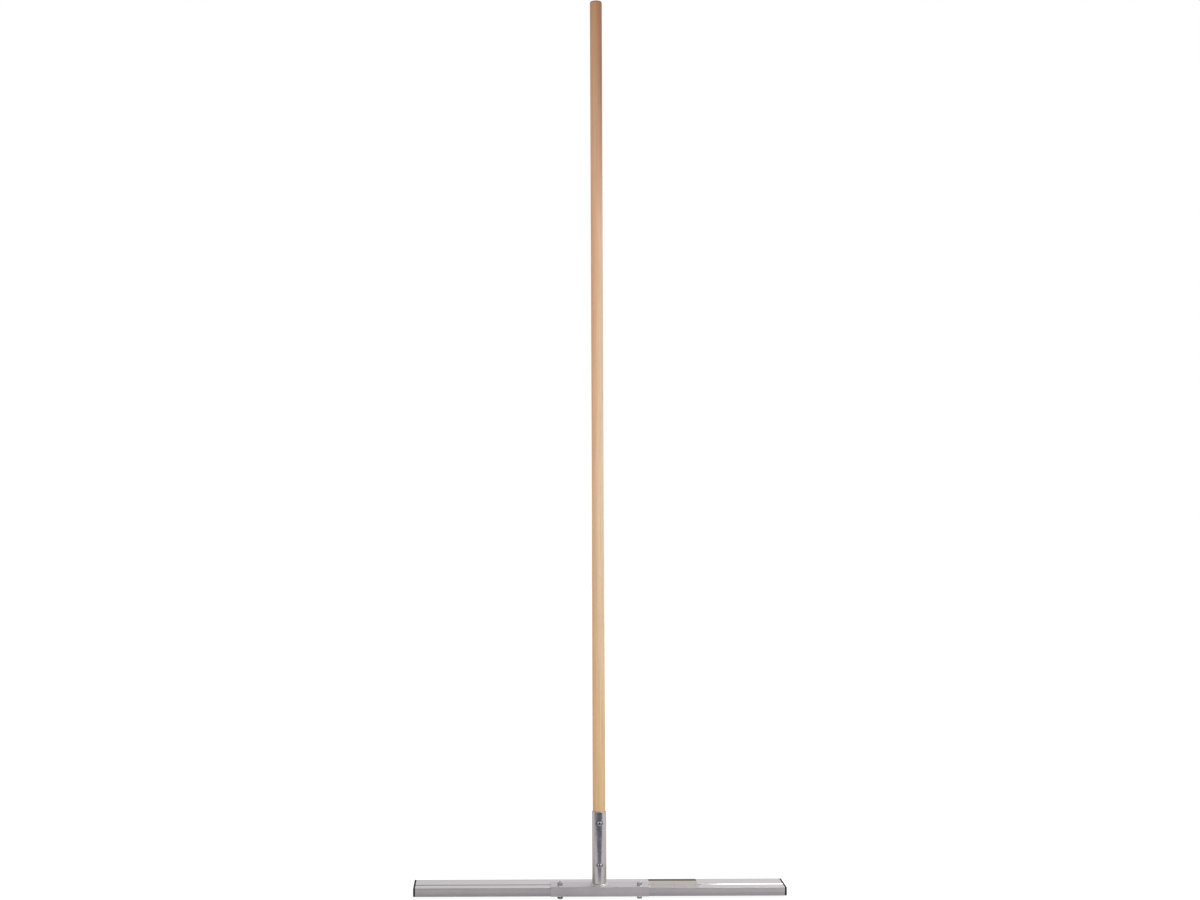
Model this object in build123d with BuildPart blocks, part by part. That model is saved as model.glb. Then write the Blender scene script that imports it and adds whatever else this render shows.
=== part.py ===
from build123d import *
import math
import os

# Paving screed scraper: a wooden pole in a welded tube socket, on an angle bracket that is bolted
# to a hollow straightedge bar. Millimetres, +X along the bar to the right, -Y towards the front,
# +Z up the handle. The origin is under the middle of the head, on the ground plane of the bolt heads.

# Screed bar, a hollow extrusion
bar_length = 792.0
bar_depth = 84.0
bar_thickness = 18.0
bar_wall = 2.0
bar_corner = 1.5
chamber_corner = 1.8
web_from_front = 31.0
web_thickness = 2.5
groove_width = 6.0
groove_depth = 1.2
groove_lip = 0.4

# End caps, plugged into the two chambers of the bar
cap_flange = 4.0
cap_edge = 0.6
spigot_length = 16.0
spigot_wall = 1.6
spigot_gap = 0.9
rib_count = 3
rib_pitch = 4.5
rib_setback = 3.0
rib_thickness = 0.9
rib_gap = 0.1

# Angle bracket over the middle of the bar
bracket_length = 210.0
bracket_depth = 50.0
bracket_thickness = 2.5
bracket_outer_radius = 1.2
bracket_inner_radius = 0.8
bracket_toe_radius = 0.6

# Tube socket and its weld
socket_setback = 25.0
socket_radius = 15.6
socket_wall = 1.7
socket_height = 158.0
socket_rim = 0.5
weld_leg = 4.0
weld_crown = 0.4

# Wooden handle
handle_length = 1900.0
handle_fit = 0.15
grip_radius = 12.8
taper_start = 110.0
taper_end = 710.0
handle_foot_chamfer = 3.0
handle_top_radius = 4.0

# Screws that hold the handle in the socket
screw_drop = 24.0
screw_spacing = 90.0
screw_head_radius = 5.4
screw_head_height = 3.2
screw_head_rim = 0.8
screw_radius = 2.1
screw_length = 22.0
screw_tip = 4.0
screw_hole_gap = 0.3
pilot_gap = 0.05
recess_span = 6.0
recess_slot = 1.3
recess_depth = 1.9
recess_turn = {"upper": 41.0, "lower": 4.0}

# Bolts through bracket and bar, each with two washers, a nut and a thin ring nut that locks it
bolt_radius = 3.0
bolt_hole_gap = 0.3
bolt_end_distance = 20.0
bolt_setback = 8.5
bolt_proud = 0.6
bolt_tip_chamfer = 0.7
head_flats = 10.0
head_height = 4.0
head_turn = {"left": 0.0, "right": 30.0}
washer_radius = 6.0
washer_thickness = 1.6
washer_bore_gap = 0.2
washer_edge = 0.3
nut_flats = 10.0
nut_height = 5.0
nut_turn = {"left": 0.0, "right": 20.0}
ring_height = 3.2
ring_turn = {"left": 6.0, "right": -15.0}
hex_chamfer = 0.5
thread_lead = 0.4
thread_gap = 0.05

# Heights, from the ground up
bar_bottom = head_height + washer_thickness
bar_top = bar_bottom + bar_thickness
bar_mid_z = (bar_bottom + bar_top) / 2
plate_top = bar_top + bracket_thickness
socket_mouth = plate_top + socket_height
handle_top = plate_top + handle_length
nut_bottom = plate_top + washer_thickness
ring_bottom = nut_bottom + nut_height
bolt_length = ring_bottom + ring_height + bolt_proud - head_height
screw_heights = {"upper": socket_mouth - screw_drop, "lower": socket_mouth - screw_drop - screw_spacing}

# Depths, with the origin in the middle of the head from front to rear
bracket_front = -(bar_depth + bracket_thickness) / 2
bar_front = bracket_front + bracket_thickness
bar_mid_y = bar_front + bar_depth / 2
bracket_rear = bracket_front + bracket_depth
handle_y = bracket_front + socket_setback
bolt_y = bracket_front + bolt_setback
web_y = bar_front + web_from_front
handle_axis = Axis((0, handle_y, 0), (0, 0, 1))

# Two chambers, each given by the middle of its width and the width
front_chamber = web_from_front - web_thickness / 2 - bar_wall
rear_chamber = bar_depth - web_from_front - web_thickness / 2 - bar_wall
chamber_height = bar_thickness - 2 * bar_wall
chambers = [
    (bar_front + bar_wall + front_chamber / 2, front_chamber),
    (web_y + web_thickness / 2 + rear_chamber / 2, rear_chamber),
]
groove_radius = (groove_width**2 / 4 + groove_depth**2) / (2 * groove_depth)

sides = {"left": -1, "right": 1}
bolt_spread = bracket_length / 2 - bolt_end_distance
bolt_places = [(sign * bolt_spread, bolt_y) for sign in sides.values()]

os.makedirs("parts", exist_ok=True)

# Screed bar: one section pushed through the die, then drilled for the bolts
with BuildPart() as screed_bar:
    with BuildSketch(Plane.YZ.offset(-bar_length / 2)) as bar_section:
        with Locations((bar_mid_y, bar_mid_z)):
            RectangleRounded(bar_depth, bar_thickness, bar_corner)
        for chamber_y, chamber_width in chambers:
            with Locations((chamber_y, bar_mid_z)):
                RectangleRounded(chamber_width, chamber_height, chamber_corner, mode=Mode.SUBTRACT)
        groove_rise = groove_radius - groove_depth
        with Locations((web_y, bar_top + groove_rise), (web_y, bar_bottom - groove_rise)):
            Circle(groove_radius, mode=Mode.SUBTRACT)
        for level in (0, -1):
            level_corners = bar_section.vertices().group_by(Axis.Y)[level]
            lips = level_corners.filter_by_position(Axis.X, web_y - groove_width, web_y + groove_width)
            fillet(lips, groove_lip)
    extrude(amount=bar_length)
    with Locations(*[(x, y, bar_top) for x, y in bolt_places]):
        Hole(bolt_radius + bolt_hole_gap, depth=bar_thickness)
screed_bar.part.label = "screed_bar"
export_step(screed_bar.part, "parts/screed_bar.step")

# End caps: a flange with the bar's outline, and a ribbed hollow spigot in each chamber
for side, sign in sides.items():
    bar_end = sign * bar_length / 2
    with BuildPart() as end_cap:
        with BuildSketch(Plane.YZ.offset(bar_end)):
            with Locations((bar_mid_y, bar_mid_z)):
                RectangleRounded(bar_depth, bar_thickness, bar_corner)
        extrude(amount=sign * cap_flange)
        outer_face = end_cap.faces().sort_by(Axis.X)[0 if sign < 0 else -1]
        fillet(outer_face.edges(), cap_edge)
        with BuildSketch(Plane.YZ.offset(bar_end)):
            for chamber_y, chamber_width in chambers:
                core_width = chamber_width - 2 * spigot_gap
                core_height = chamber_height - 2 * spigot_gap
                core_corner = chamber_corner - spigot_gap
                bore_width = core_width - 2 * spigot_wall
                bore_height = core_height - 2 * spigot_wall
                with Locations((chamber_y, bar_mid_z)):
                    RectangleRounded(core_width, core_height, core_corner)
                    Rectangle(bore_width, bore_height, mode=Mode.SUBTRACT)
        extrude(amount=-sign * spigot_length)
        for rib in range(rib_count):
            with BuildSketch(Plane.YZ.offset(bar_end - sign * (rib_setback + rib * rib_pitch))):
                for chamber_y, chamber_width in chambers:
                    bore_width = chamber_width - 2 * (spigot_gap + spigot_wall)
                    bore_height = chamber_height - 2 * (spigot_gap + spigot_wall)
                    rib_width = chamber_width - 2 * rib_gap
                    rib_height = chamber_height - 2 * rib_gap
                    with Locations((chamber_y, bar_mid_z)):
                        RectangleRounded(rib_width, rib_height, chamber_corner)
                        Rectangle(bore_width, bore_height, mode=Mode.SUBTRACT)
            extrude(amount=-sign * rib_thickness)
    end_cap.part.label = f"end_cap_{side}"
    export_step(end_cap.part, f"parts/end_cap_{side}.step")

# Bracket: an angle whose top flange lies on the bar and whose lip covers the bar's front
with BuildPart() as socket_bracket:
    with BuildSketch(Plane.YZ.offset(-bracket_length / 2)) as angle_section:
        with BuildLine():
            Polyline(
                (bracket_front, bar_bottom),
                (bracket_front, plate_top),
                (bracket_rear, plate_top),
                (bracket_rear, bar_top),
                (bar_front, bar_top),
                (bar_front, bar_bottom),
                close=True,
            )
        make_face()
        for corner, radius in (
            ((bracket_front, plate_top), bracket_outer_radius),
            ((bar_front, bar_top), bracket_inner_radius),
            ((bracket_rear, plate_top), bracket_toe_radius),
            ((bracket_front, bar_bottom), bracket_toe_radius),
        ):
            fillet(angle_section.vertices().sort_by_distance(corner)[0], radius)
    extrude(amount=bracket_length)
    with Locations(*[(x, y, plate_top) for x, y in bolt_places]):
        Hole(bolt_radius + bolt_hole_gap, depth=bracket_thickness)
socket_bracket.part.label = "socket_bracket"
export_step(socket_bracket.part, "parts/socket_bracket.step")

# Tube socket, standing on the bracket, drilled in front for the two screws
with BuildPart() as handle_socket:
    with BuildSketch(Plane.XY.offset(plate_top)):
        with Locations((0, handle_y)):
            Circle(socket_radius)
            Circle(socket_radius - socket_wall, mode=Mode.SUBTRACT)
    extrude(amount=socket_height)
    fillet(handle_socket.edges().group_by(Axis.Z)[-1], socket_rim)
    with BuildSketch(Plane.XZ.offset(-handle_y)):
        with Locations(*[(0, height) for height in screw_heights.values()]):
            Circle(screw_radius + screw_hole_gap)
    extrude(amount=socket_radius + socket_wall, mode=Mode.SUBTRACT)
handle_socket.part.label = "handle_socket"
export_step(handle_socket.part, "parts/handle_socket.step")

# Fillet weld round the foot of the tube, with a slightly crowned face
with BuildPart() as socket_weld:
    with BuildSketch(Plane.XZ.offset(-handle_y)):
        weld_middle = weld_leg / 2 + weld_crown
        with BuildLine():
            Line((socket_radius, plate_top + weld_leg), (socket_radius, plate_top))
            Line((socket_radius, plate_top), (socket_radius + weld_leg, plate_top))
            ThreePointArc(
                (socket_radius + weld_leg, plate_top),
                (socket_radius + weld_middle, plate_top + weld_middle),
                (socket_radius, plate_top + weld_leg),
            )
        make_face()
    revolve(axis=handle_axis)
socket_weld.part.label = "socket_weld"
export_step(socket_weld.part, "parts/socket_weld.step")

# Handle: a turned pole, thicker in the socket, slimmer in the hands, rounded at the top
with BuildPart() as handle:
    foot_radius = socket_radius - socket_wall - handle_fit
    with BuildSketch(Plane.XZ.offset(-handle_y)) as pole_outline:
        with BuildLine():
            Polyline(
                (0, plate_top),
                (foot_radius, plate_top),
                (foot_radius, socket_mouth + taper_start),
                (grip_radius, socket_mouth + taper_end),
                (grip_radius, handle_top),
                (0, handle_top),
                close=True,
            )
        make_face()
        chamfer(pole_outline.vertices().sort_by_distance((foot_radius, plate_top))[0], handle_foot_chamfer)
        fillet(pole_outline.vertices().sort_by_distance((grip_radius, handle_top))[0], handle_top_radius)
    revolve(axis=handle_axis)
    for height in screw_heights.values():
        with BuildSketch(Plane.XY.offset(height)):
            tip_y = handle_y - socket_radius + screw_length
            pilot_radius = screw_radius + pilot_gap
            with BuildLine():
                Polyline(
                    (0, handle_y - socket_radius),
                    (pilot_radius, handle_y - socket_radius),
                    (pilot_radius, tip_y - screw_tip),
                    (0, tip_y + pilot_gap),
                    close=True,
                )
            make_face()
        revolve(axis=Axis((0, handle_y, height), (0, 1, 0)), mode=Mode.SUBTRACT)
handle.part.label = "handle"
export_step(handle.part, "parts/handle.step")

# Socket screws: a domed head with a cross slot, a straight shank and a point
for place, height in screw_heights.items():
    screw_axis = Axis((0, handle_y, height), (0, 1, 0))
    seat_y = handle_y - socket_radius
    with BuildPart() as socket_screw:
        with BuildSketch(Plane.XY.offset(height)):
            with BuildLine():
                Polyline(
                    (0, seat_y - screw_head_height),
                    (0, seat_y + screw_length),
                    (screw_radius, seat_y + screw_length - screw_tip),
                    (screw_radius, seat_y),
                    (screw_head_radius, seat_y),
                    (screw_head_radius, seat_y - screw_head_rim),
                )
                TangentArc(
                    (0, seat_y - screw_head_height),
                    (screw_head_radius, seat_y - screw_head_rim),
                    tangent=(1, 0),
                )
            make_face()
        revolve(axis=screw_axis)
        with BuildSketch(Plane.XZ.offset(screw_head_height - seat_y)):
            with Locations(Location((0, height), recess_turn[place])):
                Rectangle(recess_span, recess_slot)
                Rectangle(recess_slot, recess_span)
        extrude(amount=-recess_depth, mode=Mode.SUBTRACT)
    socket_screw.part.label = f"socket_screw_{place}"
    export_step(socket_screw.part, f"parts/socket_screw_{place}.step")

# Bolts, washers, nuts and locking rings, one set at each end of the bracket
for side, sign in sides.items():
    bolt_x = sign * bolt_spread
    bolt_axis = Axis((bolt_x, bolt_y, 0), (0, 0, 1))
    bolt_plane = Plane.XZ.offset(-bolt_y)

    with BuildPart() as clamp_bolt:
        with BuildSketch():
            with Locations((bolt_x, bolt_y)):
                RegularPolygon(head_flats / 2, 6, major_radius=False, rotation=head_turn[side])
        extrude(amount=head_height)
        with BuildSketch(bolt_plane):
            head_corner = head_flats / math.sqrt(3)
            with BuildLine():
                Polyline(
                    (bolt_x, 0),
                    (bolt_x + head_corner - 2 * hex_chamfer, 0),
                    (bolt_x + head_corner, hex_chamfer),
                    (bolt_x + head_corner, head_height),
                    (bolt_x, head_height),
                    close=True,
                )
            make_face()
        revolve(axis=bolt_axis, mode=Mode.INTERSECT)
        with BuildSketch(Plane.XY.offset(head_height)):
            with Locations((bolt_x, bolt_y)):
                Circle(bolt_radius)
        extrude(amount=bolt_length)
        chamfer(clamp_bolt.edges().group_by(Axis.Z)[-1], bolt_tip_chamfer)
    clamp_bolt.part.label = f"clamp_bolt_{side}"
    export_step(clamp_bolt.part, f"parts/clamp_bolt_{side}.step")

    for level, washer_z in (("bottom", head_height), ("top", plate_top)):
        with BuildPart() as washer:
            with BuildSketch(Plane.XY.offset(washer_z)):
                with Locations((bolt_x, bolt_y)):
                    Circle(washer_radius)
                    Circle(bolt_radius + washer_bore_gap, mode=Mode.SUBTRACT)
            extrude(amount=washer_thickness)
            free_face = washer.faces().sort_by(Axis.Z)[0 if level == "bottom" else -1]
            fillet(free_face.edges().sort_by(SortBy.LENGTH)[-1], washer_edge)
        washer.part.label = f"{level}_washer_{side}"
        export_step(washer.part, f"parts/{level}_washer_{side}.step")

    for name, low, height, turn in (
        ("lock_nut", nut_bottom, nut_height, nut_turn[side]),
        ("lock_ring", ring_bottom, ring_height, ring_turn[side]),
    ):
        high = low + height
        with BuildPart() as nut:
            with BuildSketch(Plane.XY.offset(low)):
                with Locations((bolt_x, bolt_y)):
                    RegularPolygon(nut_flats / 2, 6, major_radius=False, rotation=turn)
            extrude(amount=height)
            with BuildSketch(bolt_plane):
                nut_corner = nut_flats / math.sqrt(3)
                nut_bore = bolt_radius + thread_gap
                with BuildLine():
                    Polyline(
                        (bolt_x + nut_bore + thread_lead, low),
                        (bolt_x + nut_corner - 2 * hex_chamfer, low),
                        (bolt_x + nut_corner, low + hex_chamfer),
                        (bolt_x + nut_corner, high - hex_chamfer),
                        (bolt_x + nut_corner - 2 * hex_chamfer, high),
                        (bolt_x + nut_bore + thread_lead, high),
                        (bolt_x + nut_bore, high - thread_lead),
                        (bolt_x + nut_bore, low + thread_lead),
                        close=True,
                    )
                make_face()
            revolve(axis=bolt_axis, mode=Mode.INTERSECT)
        nut.part.label = f"{name}_{side}"
        export_step(nut.part, f"parts/{name}_{side}.step")
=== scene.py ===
import math

import bmesh
import bpy
from bpy.props import FloatProperty, FloatVectorProperty, IntProperty, PointerProperty
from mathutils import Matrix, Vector


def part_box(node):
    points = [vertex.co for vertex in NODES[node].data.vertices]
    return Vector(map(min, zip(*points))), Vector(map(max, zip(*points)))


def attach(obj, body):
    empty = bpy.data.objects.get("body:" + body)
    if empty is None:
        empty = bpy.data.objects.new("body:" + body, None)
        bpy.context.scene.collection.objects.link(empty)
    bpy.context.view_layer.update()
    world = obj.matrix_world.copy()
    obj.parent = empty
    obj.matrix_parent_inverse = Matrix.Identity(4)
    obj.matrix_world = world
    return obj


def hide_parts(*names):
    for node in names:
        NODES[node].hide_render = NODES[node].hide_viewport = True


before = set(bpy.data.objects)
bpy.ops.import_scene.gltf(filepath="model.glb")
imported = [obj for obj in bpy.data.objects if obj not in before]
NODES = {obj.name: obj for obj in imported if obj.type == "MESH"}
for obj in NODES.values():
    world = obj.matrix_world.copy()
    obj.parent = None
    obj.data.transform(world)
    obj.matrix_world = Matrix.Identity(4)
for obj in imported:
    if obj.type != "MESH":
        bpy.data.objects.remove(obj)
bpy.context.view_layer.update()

bl_info = {
    "name": "Screed Scraper Finish",
    "version": (1, 0, 0),
    "blender": (4, 5, 0),
    "location": "3D View > Sidebar > Scraper",
    "description": "Finishes, weld, sticker and studio for a paving screed scraper",
    "category": "Object",
}

MM = 0.001
WHITE = (1.0, 1.0, 1.0, 1.0)
BLACK = (0.0, 0.0, 0.0, 1.0)
# Noise seldom leaves this range, so a Map Range that reads one starts from it
NOISE = {1: 0.3, 2: 0.7}


def half_width(node):
    """Half of a CAD node's size from left to right."""
    low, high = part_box(node)
    return (high.x - low.x) / 2


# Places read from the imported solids, in metres
BAR_LOW, BAR_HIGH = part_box("screed_bar")
BRACKET_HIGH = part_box("socket_bracket")[1]
SOCKET_LOW, SOCKET_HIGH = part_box("handle_socket")
POLE_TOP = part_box("handle")[1].z
PLATE_TOP = BRACKET_HIGH.z
SOCKET_RADIUS = half_width("handle_socket")
SOCKET_AXIS_Y = (SOCKET_LOW.y + SOCKET_HIGH.y) / 2
SCREWS = ("socket_screw_upper", "socket_screw_lower")


def linear(code):
    """Turn an sRGB hex colour into scene-linear red, green and blue."""
    parts = [int(code[i:i + 2], 16) / 255 for i in (1, 3, 5)]
    return tuple(c / 12.92 if c <= 0.04045 else ((c + 0.055) / 1.055) ** 2.4 for c in parts)


def colour(name, description, code):
    """A colour property whose default is an sRGB hex colour."""
    return FloatVectorProperty(name=name, description=description, subtype="COLOR", size=3,
                               min=0.0, max=1.0, default=linear(code))


def length(name, description, millimetres):
    """A length property whose default is given in millimetres."""
    return FloatProperty(name=name, description=description, unit="LENGTH", precision=5,
                         min=0.0, default=millimetres * MM)


def rgba(shade):
    """A colour with its alpha."""
    return (*shade, 1.0)


def connect(tree, node, inputs):
    """Set or link each of a node's inputs."""
    for key, value in inputs.items():
        if isinstance(value, bpy.types.Node):
            value = next(socket for socket in value.outputs if socket.enabled)
        if isinstance(value, bpy.types.NodeSocket):
            tree.links.new(value, node.inputs[key])
        else:
            node.inputs[key].default_value = value


def add(tree, kind, inputs=None, ramp=None, **settings):
    """Add a node, set its settings, and set or link each of its inputs. Where inputs go by number, they are
    Map Range: 0 value, 1 and 2 from, 3 and 4 to. Mix: 0 factor, 2 and 3 numbers, 6 and 7 colours.
    Mapping: 0 vector, 1 location, 2 rotation, 3 scale."""
    node = tree.nodes.new(kind)
    for name, value in settings.items():
        setattr(node, name, value)
    connect(tree, node, inputs or {})
    if ramp:
        stops = node.color_ramp.elements
        while len(stops) < len(ramp):
            stops.new(1.0)
        for stop, (place, shade) in zip(stops, ramp):
            stop.position = place
            stop.color = shade
    return node


def empty_tree(owner):
    """Turn on the nodes of a material or a world, and clear them."""
    owner.use_nodes = True
    owner.node_tree.nodes.clear()
    return owner.node_tree


# Sizes and colours


class PoleFinish(bpy.types.PropertyGroup):
    foot: colour("Foot", "Sanded beech just above the socket", "#CEAC83")
    body: colour("Body", "Sanded beech a third of the way up the pole", "#DCBFA0")
    shoulder: colour("Shoulder", "Sanded beech a good two thirds up the pole", "#D7B093")
    top: colour("Top", "Browner beech at the top end", "#B48965")
    # Heart and Sap: side tints, partly wood colour, partly painted shade and sheen. Aged: painted shade
    heart: colour("Heart", "Warm tint of the side nearer to the heart of the tree", "#F5E3D1")
    sap_and_sheen: colour("Sap", "Cool tint of the side nearer to the bark", "#EFFAFF")
    top_side_shade: colour("Aged", "Tint of the side that has darkened near the top", "#BBACB6")
    ring_pitch: length("Ring Pitch", "Distance from one growth ring to the next", 3.2)
    fibre_width: length("Fibre Width", "Width of one streak of fibres", 1.6)
    fleck_length: length("Fleck Length", "Length of one ray fleck", 7.0)


class BarFinish(bpy.types.PropertyGroup):
    metal: colour("Metal", "Mill-finish extruded aluminium", "#BDB8BA")
    bracket: colour("Bracket", "Mill-finish aluminium angle", "#C3BEC1")
    groove_setback: length("Groove Setback", "From the bar's front to the middle of its groove", 31.0)
    groove_width: length("Groove Width", "Width of the groove along the bar", 6.0)
    die_line: length("Die Line", "Width of the lines that the die leaves", 1.4)
    scuff: length("Scuff", "Size of a scuffed patch", 26.0)
    # Height of the painted shade at the foot of the bar and bracket
    shade_band: length("Worn", "Height of the foot of the bar and bracket that sand has dulled", 9.5)


class CapFinish(bpy.types.PropertyGroup):
    plastic: colour("Plastic", "Black polyethylene of the end caps", "#0B0A0C")
    grit: length("Grit", "Size of the moulded grain", 0.8)


class SocketFinish(bpy.types.PropertyGroup):
    tube: colour("Tube", "Bright drawn aluminium tube", "#CFC8C5")
    dent: length("Dent", "Size of the shallow hollows that mottle the tube", 9.0)
    # Width of the painted shade left and right of each screw head
    gap_shade: length("Smear", "Width of the dirt left and right of each screw head", 3.6)
    weld: colour("Weld", "Bare weld metal", "#D8D5D3")
    ripples: IntProperty(name="Ripples", description="Ripples round the weld", default=46, min=8, max=90)
    ripple_height: length("Ripple Height", "How far one ripple stands above the next", 0.32)
    seed: IntProperty(name="Seed", description="Choice of wander along the weld", default=9)


class FastenerFinish(bpy.types.PropertyGroup):
    nut: colour("Nut", "Zinc plate on the nuts", "#AEAEB2")
    ring: colour("Ring", "Brighter zinc plate on the thin nuts that lock them", "#D8D8DB")
    # Zinc plate, darkened below the nuts' zinc as painted shade for the heads under the bar
    bolt: colour("Bolt", "Zinc plate on the bolts, dulled by handling", "#9E9EA2")
    # A darker copy of the bolts' zinc plate: painted shade on the left bolt head under the bar
    stained: colour("Stained", "Zinc plate of the bolt that has stained", "#606064")
    # Zinc plate made near white: partly a painted highlight for the bright rims of the washers
    washer: colour("Washer", "Fresh bright zinc plate on the washers", "#F6F6F7")
    screw: colour("Screw", "Dark zinc plate on the screws", "#B2B2B8")
    spangle: length("Spangle", "Size of one patch of the plating", 2.2)
    # Height of the painted shade where two nuts meet
    crease_shade: length("Crease", "Height of the dirt where two nuts meet", 0.5)


class StickerFinish(bpy.types.PropertyGroup):
    foil: colour("Foil", "Silver foil of the plain sticker", "#A9A7A9")
    band: colour("Band", "Plain dark band", "#38353A")
    stripe: colour("Stripe", "Plain narrow stripe", "#C8941C")
    gap: length("Gap", "Distance from the end of the bracket", 4.0)
    long: length("Length", "Size along the bar", 104.0)
    wide: length("Width", "Size across the bar", 79.0)
    corner: length("Corner", "Radius of the corners", 4.0)
    rule: length("Rule", "Width of the lines of the empty boxes", 0.5)
    thickness: length("Thickness", "Foil, glue and film", 0.16)
    sag: length("Sag", "How far the foil sinks into the groove under it", 0.35)


class StageLook(bpy.types.PropertyGroup):
    paper: colour("Paper", "Pale studio floor", "#FAFAFA")
    # Dusk and Dim colour a glowing sheet that only reflections see: painted reflections of the room
    dusk: colour("Dusk", "Dark side of the room that the metal mirrors", "#65697C")
    dim: colour("Dim", "Half-dark floor to the left, which the tube mirrors", "#848482")
    lens: FloatProperty(name="Lens", description="Focal length of the camera",
                        subtype="DISTANCE_CAMERA", default=56.05, min=10.0)
    distance: length("Distance", "From the pole to the camera", 4020.7)
    height: length("Height", "Camera above the floor", 961.7)
    offset: length("Offset", "Camera to the left of the pole", 215.9)
    roll: FloatProperty(name="Roll", description="Lean of the camera", subtype="ANGLE",
                        default=math.radians(0.23))
    shift: FloatProperty(name="Shift", description="Sideways shift that brings the pole to the middle",
                         default=0.0856)


# Materials


def new_material(name, **uniform):
    """A material with a Principled shader alone, and the Object coordinates that its patterns read."""
    material = bpy.data.materials.new(name)
    tree = empty_tree(material)
    shader = add(tree, "ShaderNodeBsdfPrincipled", uniform)
    add(tree, "ShaderNodeOutputMaterial", {"Surface": shader})
    place = add(tree, "ShaderNodeTexCoord").outputs["Object"]
    return material, tree, shader, place


def turned_beech(look):
    """Beech, turned round and sanded: long streaks of fibre, growth rings that run out slowly along
    the pole and close to circles on its top end, short dark ray flecks, hardly any gloss."""
    material, tree, shader, place = new_material("sanded_beech", **{"Specular IOR Level": 0.12})
    spot = add(tree, "ShaderNodeSeparateXYZ", {0: place}).outputs
    share = add(tree, "ShaderNodeMapRange", {0: spot["Z"], 1: SOCKET_HIGH.z, 2: POLE_TOP})
    tone = add(tree, "ShaderNodeValToRGB", {0: share}, ramp=[
        (0.0, rgba(look.foot)), (0.36, rgba(look.body)),
        (0.72, rgba(look.shoulder)), (1.0, rgba(look.top))])
    # The heart of the tree lies beside the pole and leans a little, so the rings run out along it
    beside, lean = (31.0 * MM, 24.0 * MM, 0.0), (0.004, 0.006, 0.0)
    heart = add(tree, "ShaderNodeMapping", {0: place, 1: beside, 2: lean})
    flat = add(tree, "ShaderNodeVectorMath", {0: heart, 1: (1.0, 1.0, 0.0)}, operation="MULTIPLY")
    radius = add(tree, "ShaderNodeVectorMath", {0: flat}, operation="LENGTH").outputs["Value"]
    # The rings waver over some 17 mm across the pole and 400 mm along it
    slow, waver = (60.0, 60.0, 2.5), 1.3
    wander = add(tree, "ShaderNodeMapping", {0: place, 3: slow})
    wander = add(tree, "ShaderNodeTexNoise", {"Vector": wander, "Scale": 1.0, "Detail": 2.0})
    turns = add(tree, "ShaderNodeMath", {0: radius, 1: look.ring_pitch}, operation="DIVIDE")
    turns = add(tree, "ShaderNodeMath", {0: wander, 1: waver, 2: turns}, operation="MULTIPLY_ADD")
    turns = add(tree, "ShaderNodeMath", {0: turns}, operation="FRACT")
    late = add(tree, "ShaderNodeValToRGB", {0: turns}, ramp=[
        (0.0, BLACK), (0.55, (0.15, 0.15, 0.15, 1.0)), (0.86, WHITE), (1.0, BLACK)])
    # Fibres are finer than a pixel, so the streaks are drawn some ten fibres wide
    across, stretch = 1.0 / look.fibre_width, 90.0
    grain = add(tree, "ShaderNodeMapping", {0: place, 3: (across, across, across / stretch)})
    fibre = add(tree, "ShaderNodeTexNoise", {"Vector": grain, "Scale": 1.0, "Detail": 5.0,
                                             "Roughness": 0.6})
    # Flecks are seven times as long as wide, and only the peaks of their noise show
    along, narrow = 1.0 / look.fleck_length, 7.0 / look.fleck_length
    speck = add(tree, "ShaderNodeMapping", {0: place, 3: (narrow, narrow, along)})
    fleck = add(tree, "ShaderNodeTexNoise", {"Vector": speck, "Scale": 1.0, "Detail": 1.0})
    fleck = add(tree, "ShaderNodeMapRange", {0: fleck, 1: 0.62, 2: 0.72})
    shade = add(tree, "ShaderNodeMapRange", {0: fibre, **NOISE, 3: 0.86, 4: 1.10})
    # Faces that look up are darker, partly end grain and partly painted shade against the light from
    #     # above, and their rings stand out more
    normal = add(tree, "ShaderNodeNewGeometry").outputs["Normal"]
    facing = add(tree, "ShaderNodeSeparateXYZ", {0: normal}).outputs
    upwards = {0: facing["Z"], 1: 0.05, 2: 0.6}
    end_grain_shade = add(tree, "ShaderNodeMapRange", {**upwards, 3: 1.0, 4: 0.4})
    ring = add(tree, "ShaderNodeMapRange", {**upwards, 3: -0.1, 4: -0.32})
    shade = add(tree, "ShaderNodeMath", {0: late, 1: ring, 2: shade}, operation="MULTIPLY_ADD")
    shade = add(tree, "ShaderNodeMath", {0: fleck, 1: -0.10, 2: shade}, operation="MULTIPLY_ADD")
    shade = add(tree, "ShaderNodeMath", {0: shade, 1: end_grain_shade}, operation="MULTIPLY")
    # Painted light across the pole, partly wood colour: the left side warmer and darker as painted shade,
    #     # the right side paler and cooler as a painted sheen, and near the top the right side darker as
    #     # painted shade
    half = half_width("handle")
    side = add(tree, "ShaderNodeMapRange", {0: spot["X"], 1: -half, 2: half})
    lower = add(tree, "ShaderNodeValToRGB", {0: side}, ramp=[
        (0.04, rgba(look.heart)), (0.6, WHITE), (0.96, rgba(look.sap_and_sheen))])
    upper = add(tree, "ShaderNodeValToRGB", {0: side}, ramp=[(0.35, WHITE), (0.96, rgba(look.top_side_shade))])
    high = add(tree, "ShaderNodeMapRange", {0: share, 1: 0.7, 2: 0.9})
    tint = add(tree, "ShaderNodeMix", {0: high, 6: lower, 7: upper}, data_type="RGBA")
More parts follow.
